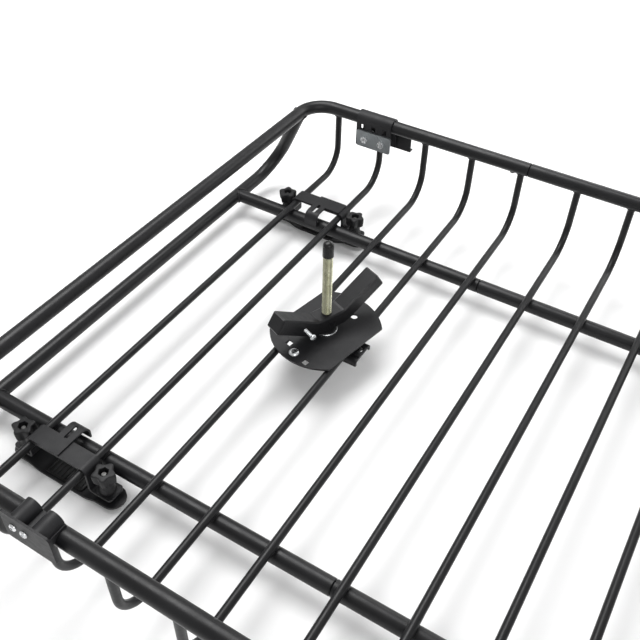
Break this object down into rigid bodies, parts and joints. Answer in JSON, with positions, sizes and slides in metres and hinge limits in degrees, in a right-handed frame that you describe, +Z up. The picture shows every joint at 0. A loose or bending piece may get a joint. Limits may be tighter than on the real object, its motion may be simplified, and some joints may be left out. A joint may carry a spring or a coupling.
{
  "type": "roof cargo basket",
  "caption": "Tubular roof cargo basket with cross slats, a raised side rail, crossbar clamps with star knobs, a screw-down wheel carrier and rail brackets.",
  "frame": {"origin": "middle of the basket, on the plane of its lowest faces (undersides of the clamp straps)", "axes": "+X along the side rails, +Y across the basket towards the rail with the plate bracket, +Z up"},
  "size_m": [1.1854, 1.072, 0.255],
  "materials": {
    "powder_coat": "satin black powder coat",
    "bracket_coat": "matt black powder coat",
    "cast_coat": "satin black on a casting",
    "knob_plastic": "fine-grained moulded",
    "rubber": "matt",
    "black_steel": "black coated fastener",
    "zinc": "bright zinc plate",
    "yellow_zinc": "yellow zinc plate"
  },
  "bodies": {
    "basket": {"slat_01": "powder_coat", "slat_02": "powder_coat", "slat_03": "powder_coat", "slat_04": "powder_coat", "slat_05": "powder_coat", "slat_06": "powder_coat", "slat_07": "powder_coat", "slat_08": "powder_coat", "slat_09": "powder_coat", "slat_10": "powder_coat", "upper_rail_left": "powder_coat", "upper_rail_right": "powder_coat", "end_tube_left": "powder_coat", "end_tube_right": "powder_coat", "long_tube_near_left": "powder_coat", "long_tube_near_right": "powder_coat", "long_tube_far_left": "powder_coat", "long_tube_far_right": "powder_coat", "joint_screws": "black_steel", "clamp_channel_near_left": "bracket_coat", "clamp_channel_near_right": "bracket_coat", "clamp_channel_far_left": "bracket_coat", "clamp_channel_far_right": "bracket_coat", "clamp_hooks": "bracket_coat", "carrier_base": "bracket_coat", "carrier_clips": "bracket_coat", "carrier_fasteners": "zinc", "carrier_stud": "yellow_zinc", "stud_cap": "rubber", "far_saddle": "bracket_coat", "far_channel": "bracket_coat", "near_saddle": "bracket_coat", "far_plate": "zinc", "near_plate": "bracket_coat", "bracket_bolts": "zinc"},
    "carrier_plate": {"hold_down_plate": "bracket_coat", "plate_bolt": "zinc", "hub_washer": "zinc"},
    "carrier_handle": {"handle": "cast_coat", "lock_screw": "zinc"},
    "strap_near_left": {"clamp_strap_near_left": "bracket_coat", "clamp_pad_near_left": "rubber", "clamp_bolts_near_left": "zinc"},
    "inner_near_left": {"knob_inner_near_left": "knob_plastic"},
    "outer_near_left": {"knob_outer_near_left": "knob_plastic"},
    "strap_near_right": {"clamp_strap_near_right": "bracket_coat", "clamp_pad_near_right": "rubber", "clamp_bolts_near_right": "zinc"},
    "inner_near_right": {"knob_inner_near_right": "knob_plastic"},
    "outer_near_right": {"knob_outer_near_right": "knob_plastic"},
    "strap_far_left": {"clamp_strap_far_left": "bracket_coat", "clamp_pad_far_left": "rubber", "clamp_bolts_far_left": "zinc"},
    "inner_far_left": {"knob_inner_far_left": "knob_plastic"},
    "outer_far_left": {"knob_outer_far_left": "knob_plastic"},
    "strap_far_right": {"clamp_strap_far_right": "bracket_coat", "clamp_pad_far_right": "rubber", "clamp_bolts_far_right": "zinc"},
    "inner_far_right": {"knob_inner_far_right": "knob_plastic"},
    "outer_far_right": {"knob_outer_far_right": "knob_plastic"}
  },
  "joints": [
    {"name": "plate_slide", "type": "slide", "parent": "basket", "child": "carrier_plate", "axis": [0, 0, 1], "range_m": [0, 0.1108]},
    {"name": "handle_turn", "type": "hinge", "parent": "carrier_plate", "child": "carrier_handle", "pos_m": [-0.20185, 0.053, 0.09], "axis": [0, 0, 1], "range_deg": [0, 17280]},
    {"name": "inner_turn_near_left", "type": "hinge", "parent": "basket", "child": "inner_near_left", "pos_m": [-0.31945, -0.3595, 0.045], "axis": [0, 0, 1], "range_deg": [0, 4330]},
    {"name": "outer_turn_near_left", "type": "hinge", "parent": "basket", "child": "outer_near_left", "pos_m": [-0.47745, -0.3595, 0.045], "axis": [0, 0, 1], "range_deg": [0, 4330]},
    {"name": "strap_slide_near_left", "type": "slide", "parent": "basket", "child": "strap_near_left", "axis": [0, 0, -1], "range_m": [0, 0.015]},
    {"name": "inner_turn_near_right", "type": "hinge", "parent": "basket", "child": "inner_near_right", "pos_m": [0.31945, -0.3595, 0.045], "axis": [0, 0, 1], "range_deg": [0, 4330]},
    {"name": "outer_turn_near_right", "type": "hinge", "parent": "basket", "child": "outer_near_right", "pos_m": [0.47745, -0.3595, 0.045], "axis": [0, 0, 1], "range_deg": [0, 4330]},
    {"name": "strap_slide_near_right", "type": "slide", "parent": "basket", "child": "strap_near_right", "axis": [0, 0, -1], "range_m": [0, 0.015]},
    {"name": "inner_turn_far_left", "type": "hinge", "parent": "basket", "child": "inner_far_left", "pos_m": [-0.31945, 0.3595, 0.045], "axis": [0, 0, 1], "range_deg": [0, 4330]},
    {"name": "outer_turn_far_left", "type": "hinge", "parent": "basket", "child": "outer_far_left", "pos_m": [-0.47745, 0.3595, 0.045], "axis": [0, 0, 1], "range_deg": [0, 4330]},
    {"name": "strap_slide_far_left", "type": "slide", "parent": "basket", "child": "strap_far_left", "axis": [0, 0, -1], "range_m": [0, 0.015]},
    {"name": "inner_turn_far_right", "type": "hinge", "parent": "basket", "child": "inner_far_right", "pos_m": [0.31945, 0.3595, 0.045], "axis": [0, 0, 1], "range_deg": [0, 4330]},
    {"name": "outer_turn_far_right", "type": "hinge", "parent": "basket", "child": "outer_far_right", "pos_m": [0.47745, 0.3595, 0.045], "axis": [0, 0, 1], "range_deg": [0, 4330]},
    {"name": "strap_slide_far_right", "type": "slide", "parent": "basket", "child": "strap_far_right", "axis": [0, 0, -1], "range_m": [0, 0.015]}
  ],
  "couplings": [
    {"joint": "handle_turn", "follows": "plate_slide", "rad_per_m": 2721.2},
    {"joint": "inner_turn_near_left", "follows": "strap_slide_near_left", "rad_per_m": 5026.5},
    {"joint": "outer_turn_near_left", "follows": "strap_slide_near_left", "rad_per_m": 5026.5},
    {"joint": "inner_turn_near_right", "follows": "strap_slide_near_right", "rad_per_m": 5026.5},
    {"joint": "outer_turn_near_right", "follows": "strap_slide_near_right", "rad_per_m": 5026.5},
    {"joint": "inner_turn_far_left", "follows": "strap_slide_far_left", "rad_per_m": 5026.5},
    {"joint": "outer_turn_far_left", "follows": "strap_slide_far_left", "rad_per_m": 5026.5},
    {"joint": "inner_turn_far_right", "follows": "strap_slide_far_right", "rad_per_m": 5026.5},
    {"joint": "outer_turn_far_right", "follows": "strap_slide_far_right", "rad_per_m": 5026.5}
  ]
}
